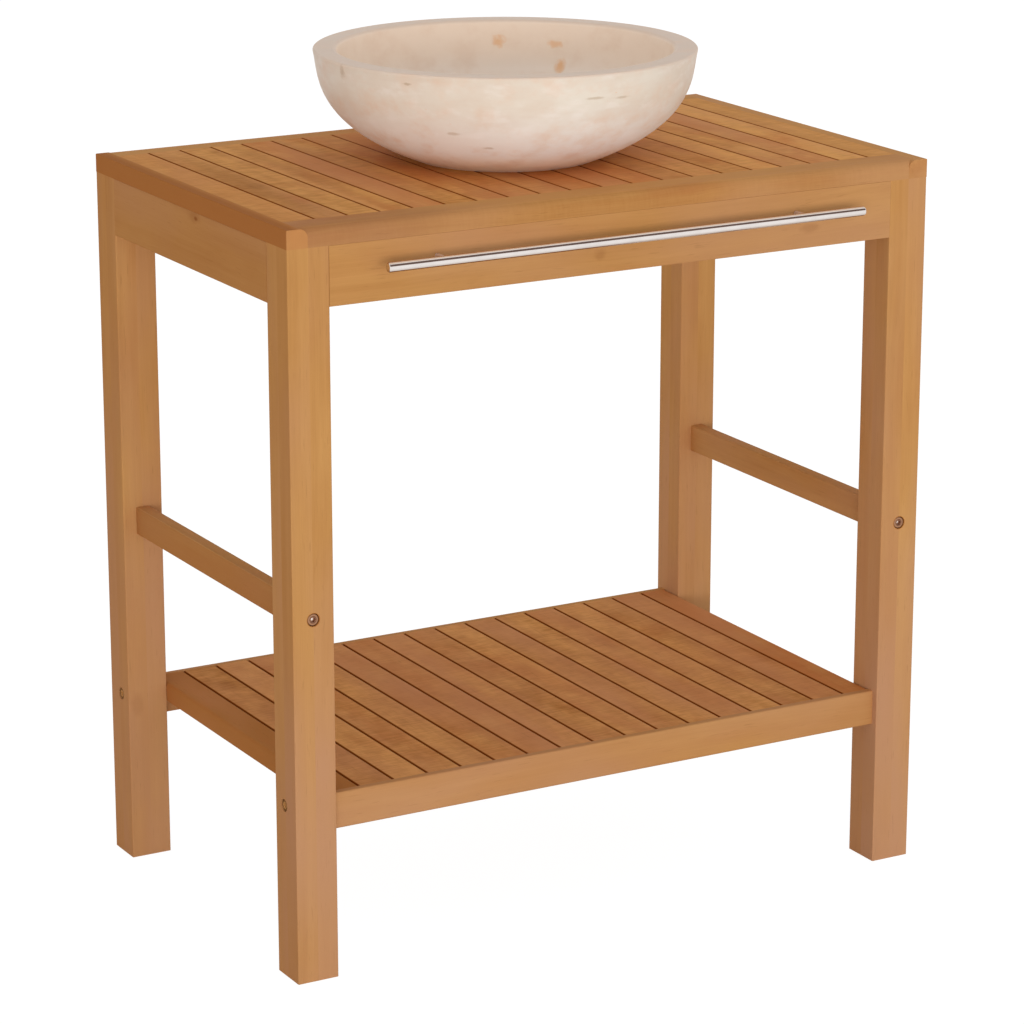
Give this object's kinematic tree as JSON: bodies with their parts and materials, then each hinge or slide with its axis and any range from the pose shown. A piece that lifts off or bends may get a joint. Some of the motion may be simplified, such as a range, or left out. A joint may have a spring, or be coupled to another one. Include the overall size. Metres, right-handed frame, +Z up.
{
  "type": "bathroom washstand",
  "caption": "Open wooden washstand with a slatted top and shelf, side stretchers, a front towel bar and a round stone vessel basin.",
  "frame": {"origin": "on the floor under the middle of the whole washstand's width and depth, towel bar included", "axes": "+X to the right seen from the front, +Y to the back, +Z up"},
  "size_m": [0.74, 0.48, 0.884],
  "materials": {
    "leg_wood": "oiled, satin",
    "apron_wood": "oiled, satin",
    "top_frame_wood": "oiled, satin",
    "top_slat_wood": "oiled, satin",
    "shelf_wood": "oiled, satin",
    "stretcher_wood": "oiled, satin",
    "bronze": "browned bronze, satin",
    "brass": "yellow zinc plate, satin",
    "zinc": "zinc plated",
    "bar_steel": "polished, slightly satin",
    "post_steel": "polished, slightly satin",
    "basin_stone": "honed cream limestone with fine brown flecks"
  },
  "bodies": {
    "root": {"leg_front_left": "leg_wood", "leg_front_right": "leg_wood", "leg_back_left": "leg_wood", "leg_back_right": "leg_wood", "apron_front": "apron_wood", "apron_back": "apron_wood", "apron_left": "apron_wood", "apron_right": "apron_wood", "top_rail_front": "top_frame_wood", "top_rail_back": "top_frame_wood", "top_strip_left": "top_frame_wood", "top_strip_right": "top_frame_wood", "top_board_left": "top_slat_wood", "top_board_right": "top_slat_wood", "shelf_rail_front": "shelf_wood", "shelf_rail_back": "shelf_wood", "shelf_end_left": "shelf_wood", "shelf_end_right": "shelf_wood", "stretcher_left": "stretcher_wood", "stretcher_right": "stretcher_wood", "stretcher_bolts": "bronze", "stretcher_nuts": "zinc", "shelf_bolts": "brass", "shelf_inserts": "zinc", "towel_bar": "bar_steel", "towel_bar_posts": "post_steel", "basin": "basin_stone", "top_slat_01": "top_slat_wood", "top_slat_02": "top_slat_wood", "top_slat_03": "top_slat_wood", "top_slat_04": "top_slat_wood", "top_slat_05": "top_slat_wood", "top_slat_06": "top_slat_wood", "top_slat_07": "top_slat_wood", "top_slat_08": "top_slat_wood", "top_slat_09": "top_slat_wood", "top_slat_10": "top_slat_wood", "top_slat_11": "top_slat_wood", "top_slat_12": "top_slat_wood", "top_slat_13": "top_slat_wood", "top_slat_14": "top_slat_wood", "top_slat_15": "top_slat_wood", "top_slat_16": "top_slat_wood", "top_slat_17": "top_slat_wood", "top_slat_18": "top_slat_wood", "shelf_slat_01": "shelf_wood", "shelf_slat_02": "shelf_wood", "shelf_slat_03": "shelf_wood", "shelf_slat_04": "shelf_wood", "shelf_slat_05": "shelf_wood", "shelf_slat_06": "shelf_wood", "shelf_slat_07": "shelf_wood", "shelf_slat_08": "shelf_wood", "shelf_slat_09": "shelf_wood", "shelf_slat_10": "shelf_wood", "shelf_slat_11": "shelf_wood", "shelf_slat_12": "shelf_wood", "shelf_slat_13": "shelf_wood", "shelf_slat_14": "shelf_wood", "shelf_slat_15": "shelf_wood"}
  },
  "joints": []
}
